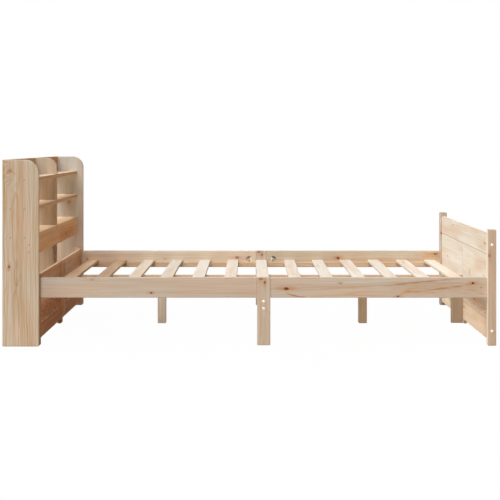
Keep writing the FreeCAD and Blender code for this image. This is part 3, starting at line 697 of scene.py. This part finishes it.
def fixings_tree():
    """A turned fixing with a driver's recess in its head, at each point and along its aim."""
    tree = bpy.data.node_groups.new("turned_fixings", "GeometryNodeTree")
    add = partial(add_node, tree)
    tree.interface.new_socket("Points", in_out="INPUT", socket_type="NodeSocketGeometry")
    for size in ("Head Radius", "Head Height", "Face Share", "Recess Share", "Recess Depth",
                 "Shank Radius", "Shank Length"):
        tree.interface.new_socket(size, in_out="INPUT", socket_type="NodeSocketFloat")
    tree.interface.new_socket("Metal", in_out="INPUT", socket_type="NodeSocketMaterial")
    tree.interface.new_socket("Fixings", in_out="OUTPUT", socket_type="NodeSocketGeometry")
    size = add("NodeGroupInput").outputs
    head = add("GeometryNodeMeshCylinder", {
        "Vertices": HEAD_FACETS,
        "Radius": size["Head Radius"],
        "Depth": size["Head Height"],
    })
    face = add("GeometryNodeScaleElements", {
        "Geometry": head.outputs["Mesh"],
        "Selection": head.outputs["Bottom"],
        "Scale": size["Face Share"],
    })
    rim = add("GeometryNodeExtrudeMesh", {
        "Mesh": face.outputs[0], "Selection": head.outputs["Bottom"], "Offset Scale": 0.0,
    })
    mouth = add("GeometryNodeScaleElements", {
        "Geometry": rim.outputs["Mesh"],
        "Selection": rim.outputs["Top"],
        "Scale": size["Recess Share"],
    })
    recess = add("GeometryNodeExtrudeMesh", {
        "Mesh": mouth.outputs[0],
        "Selection": rim.outputs["Top"],
        "Offset Scale": size["Recess Depth"],
    })
    head_half = add("ShaderNodeMath", {0: size["Head Height"], 1: 0.5},
                    operation="MULTIPLY").outputs[0]
    head_at = add("ShaderNodeCombineXYZ", {"Z": head_half}).outputs[0]
    head_set = add("GeometryNodeTransform", {
        "Geometry": recess.outputs["Mesh"], "Translation": head_at,
    })
    shank = add("GeometryNodeMeshCylinder", {
        "Vertices": SHANK_FACETS,
        "Radius": size["Shank Radius"],
        "Depth": size["Shank Length"],
    })
    shank_half = add("ShaderNodeMath", {0: size["Shank Length"], 1: 0.5, 2: size["Head Height"]},
                     operation="MULTIPLY_ADD").outputs[0]
    shank_at = add("ShaderNodeCombineXYZ", {"Z": shank_half}).outputs[0]
    shank_set = add("GeometryNodeTransform", {
        "Geometry": shank.outputs["Mesh"], "Translation": shank_at,
    })
    whole = add("GeometryNodeJoinGeometry", {"Geometry": head_set.outputs[0]})
    tree.links.new(shank_set.outputs[0], whole.inputs[0])
    aim = add("GeometryNodeInputNamedAttribute", {"Name": "aim"}, data_type="FLOAT_VECTOR")
    turned = add("FunctionNodeAlignRotationToVector", {"Vector": aim.outputs["Attribute"]},
                 axis="Z")
    placed = add("GeometryNodeInstanceOnPoints", {
        "Points": size["Points"], "Instance": whole.outputs[0], "Rotation": turned.outputs[0],
    })
    real = add("GeometryNodeRealizeInstances", {"Geometry": placed.outputs[0]})
    painted = add("GeometryNodeSetMaterial",
                  {"Geometry": real.outputs[0], "Material": size["Metal"]})
    add("NodeGroupOutput", {"Fixings": painted.outputs[0]})
    return tree


TURNED = fixings_tree()
# The CAD's fixings are twelve-sided and measured across corners: these stay inside their flats.
CAD_SIDES = 12
FLATS = math.cos(math.pi / CAD_SIDES)
# Sizes in millimetres. The face is a share of the head, and the recess a share of the face.
FIXINGS = {
    "shelf_screws": {
        "finish": "dull", "head_radius": 4.5, "head_height": 3, "face_share": 1.0,
        "recess_share": 0.5, "recess_depth": 0.4, "shank_radius": 2.5, "shank_length": 47,
    },
    "connector_bolts": {
        "finish": "bright", "head_radius": 7, "head_height": 3, "face_share": 0.65,
        "recess_share": 0.4, "recess_depth": 0.6, "shank_radius": 3, "shank_length": 80,
    },
}
for node, fixing in FIXINGS.items():
    places = driven(node)
    points = bpy.data.meshes.new(f"{node}_points")
    points.from_pydata([start for start, _ in places], [], [])
    aims = points.attributes.new("aim", "FLOAT_VECTOR", "POINT")
    aims.data.foreach_set("vector", [part for _, aim in places for part in aim])
    layout = bpy.data.objects.new(f"{node}_layout", points)
    bpy.context.scene.collection.objects.link(layout)
    modifier = layout.modifiers.new("turned", "NODES")
    modifier.node_group = TURNED
    values = {
        "Head Radius": fixing["head_radius"] * FLATS / METRE,
        "Head Height": fixing["head_height"] / METRE,
        "Face Share": fixing["face_share"],
        "Recess Share": fixing["recess_share"],
        "Recess Depth": -fixing["recess_depth"] / METRE,
        "Shank Radius": fixing["shank_radius"] * FLATS / METRE,
        "Shank Length": fixing["shank_length"] / METRE,
        "Metal": steels[fixing["finish"]],
    }
    for socket in TURNED.interface.items_tree:
        if socket.name in values:
            modifier[socket.identifier] = values[socket.name]
    shape = layout.evaluated_get(bpy.context.evaluated_depsgraph_get())
    mesh = bpy.data.meshes.new_from_object(shape)
    bpy.data.objects.remove(layout)
    turned_fixings = bpy.data.objects.new(f"turned_{node}", mesh)
    bpy.context.scene.collection.objects.link(turned_fixings)
    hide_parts(node)
    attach(turned_fixings, "root")

# Floor and backdrop
# A plain studio floor, painted matt in a pale cream that warms the light it throws back. The eye,
# and any metal, sees it as white like the background, with the faintest shadow under the bed.

# In metres from the middle of the bed: the floor's edges, and where its shadow fades from and to
FLOOR_HALF = 9.0
SHADOW_REACH = (1.0, 2.6)
WHITE_UNDER_BED = 0.985
FLOOR_CREAM = "#D2C5B4"


def background_ray(tree):
    """1 where a ray shows the background to the eye, in metal or through glass, and 0 elsewhere."""
    add = partial(add_node, tree)
    ray = add("ShaderNodeLightPath").outputs
    seen = ray["Is Camera Ray"]
    for other in ("Is Glossy Ray", "Is Transmission Ray"):
        seen = add("ShaderNodeMath", {0: seen, 1: ray[other]}, operation="MAXIMUM").outputs[0]
    return seen


floor_mesh = bpy.data.meshes.new("studio_floor")
floor_mesh.from_pydata(
    [(-FLOOR_HALF, -FLOOR_HALF, 0), (FLOOR_HALF, -FLOOR_HALF, 0),
     (FLOOR_HALF, FLOOR_HALF, 0), (-FLOOR_HALF, FLOOR_HALF, 0)],
    [], [(0, 1, 2, 3)],
)
floor = bpy.data.objects.new("studio_floor", floor_mesh)
bpy.context.scene.collection.objects.link(floor)
floor_paint = bpy.data.materials.new("matt_cream_paint")
floor_paint.use_nodes = True
tree = floor_paint.node_tree
tree.nodes.clear()
add = partial(add_node, tree)
seen = background_ray(tree)
place = add("ShaderNodeTexCoord").outputs["Object"]
reach = add("ShaderNodeVectorMath", {0: place}, operation="LENGTH").outputs["Value"]
fade = add("ShaderNodeMapRange", {
    "Value": reach, 1: SHADOW_REACH[0], 2: SHADOW_REACH[1], 3: WHITE_UNDER_BED, 4: 1.0,
}).outputs[0]
glow_share = add("ShaderNodeMath", {0: seen, 1: fade}, operation="MULTIPLY").outputs[0]
matt = add("ShaderNodeBsdfDiffuse", {"Color": linear(FLOOR_CREAM)})
glow = add("ShaderNodeEmission", {"Color": (1, 1, 1, 1), "Strength": 1.0})
mixed = add("ShaderNodeMixShader", {0: glow_share, 1: matt.outputs[0], 2: glow.outputs[0]})
add("ShaderNodeOutputMaterial", {"Surface": mixed.outputs[0]})
floor_mesh.materials.append(floor_paint)

ROOM_LIGHT = 0.10
ROOM_CREAM = "#FFF6EA"
world = bpy.data.worlds.new("white_studio")
bpy.context.scene.world = world
world.use_nodes = True
tree = world.node_tree
tree.nodes.clear()
add = partial(add_node, tree)
seen = background_ray(tree)
level = add("ShaderNodeMapRange", {"Value": seen, 3: ROOM_LIGHT, 4: 1.0}).outputs[0]
hue = add("ShaderNodeMix", {0: seen, 6: linear(ROOM_CREAM), 7: (1, 1, 1, 1)},
          data_type="RGBA").outputs[2]
backdrop = add("ShaderNodeBackground", {"Color": hue, "Strength": level})
add("ShaderNodeOutputWorld", {"Surface": backdrop.outputs[0]})

# Lights
# A broad soft key from above the head, a weaker one from the near side, and a faint one beyond.
# Each is as even as daylight, so the near and far ends of the bed are lit alike.

LIGHT_DISTANCE = 6
# Each has the way towards it, its strength and its spread in degrees.
STUDIO_LIGHTS = {
    "head_key": (Vector((-0.62, -0.10, 0.70)), 2.8, 35),
    "front_fill": (Vector((-0.06, -0.82, 0.54)), 1.45, 25),
    "rear_fill": (Vector((0.10, 0.90, 0.35)), 0.5, 40),
}
for name, (toward, strength, spread) in STUDIO_LIGHTS.items():
    lamp = bpy.data.lights.new(name, "SUN")
    lamp.energy = strength
    lamp.angle = math.radians(spread)
    light = bpy.data.objects.new(name, lamp)
    light.location = toward * LIGHT_DISTANCE
    light.rotation_euler = toward.to_track_quat("Z", "Y").to_euler()
    bpy.context.scene.collection.objects.link(light)

# Camera
# Level, square to the side of the bed, from well back, with the frame shifted down to the bed.

LENS = 91.76
SENSOR = 36.0
CAMERA_SPOT = (0.0047, -6.474, 0.908)
SHIFT = (-0.0016, -0.2122)
camera_data = bpy.data.cameras.new("camera")
camera_data.lens = LENS
camera_data.sensor_width = SENSOR
camera_data.shift_x, camera_data.shift_y = SHIFT
camera = bpy.data.objects.new("camera", camera_data)
camera.location = CAMERA_SPOT
camera.rotation_euler = (math.radians(90), 0, 0)
bpy.context.scene.collection.objects.link(camera)
bpy.context.scene.camera = camera
bpy.context.scene.view_settings.view_transform = "Standard"
